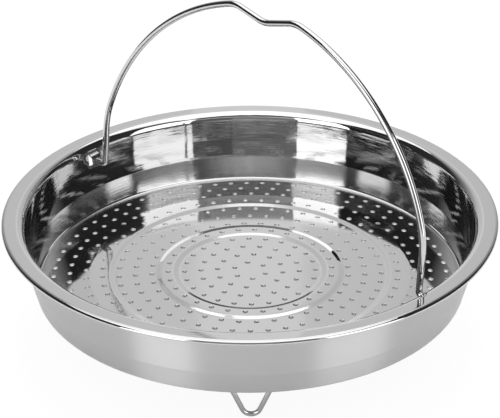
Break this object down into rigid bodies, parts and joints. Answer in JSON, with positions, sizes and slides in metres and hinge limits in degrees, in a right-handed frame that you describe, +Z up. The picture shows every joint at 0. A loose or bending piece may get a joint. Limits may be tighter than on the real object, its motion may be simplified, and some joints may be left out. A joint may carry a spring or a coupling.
{
  "type": "steamer basket",
  "caption": "Round perforated steel steamer basket with a flat rim, a swinging wire bail with a dipped grip, and V-shaped wire feet.",
  "frame": {"origin": "on the ground under the bowl's axis, at the bottom of the feet", "axes": "+Z up along the bowl's axis, +X along the bail's pivot axis"},
  "size_m": [0.28, 0.28, 0.1916],
  "materials": {
    "basket_steel": "stainless steel, mirror polished inside and on the rim, satin on the outside of the wall",
    "bail_steel": "polished stainless steel wire",
    "lug_steel": "tumbled stainless steel strip",
    "foot_steel": "polished stainless steel wire"
  },
  "bodies": {
    "basket": {"basket_bowl": "basket_steel", "bail_lug_left": "lug_steel", "bail_lug_right": "lug_steel", "wire_foot_1": "foot_steel", "wire_foot_2": "foot_steel", "wire_foot_3": "foot_steel"},
    "bail": {"bail_handle": "bail_steel"}
  },
  "joints": [
    {"name": "bail_swing", "type": "hinge", "parent": "basket", "child": "bail", "pos_m": [0, 0, 0.0642], "axis": [1, 0, 0], "range_deg": [-79, 89]}
  ]
}
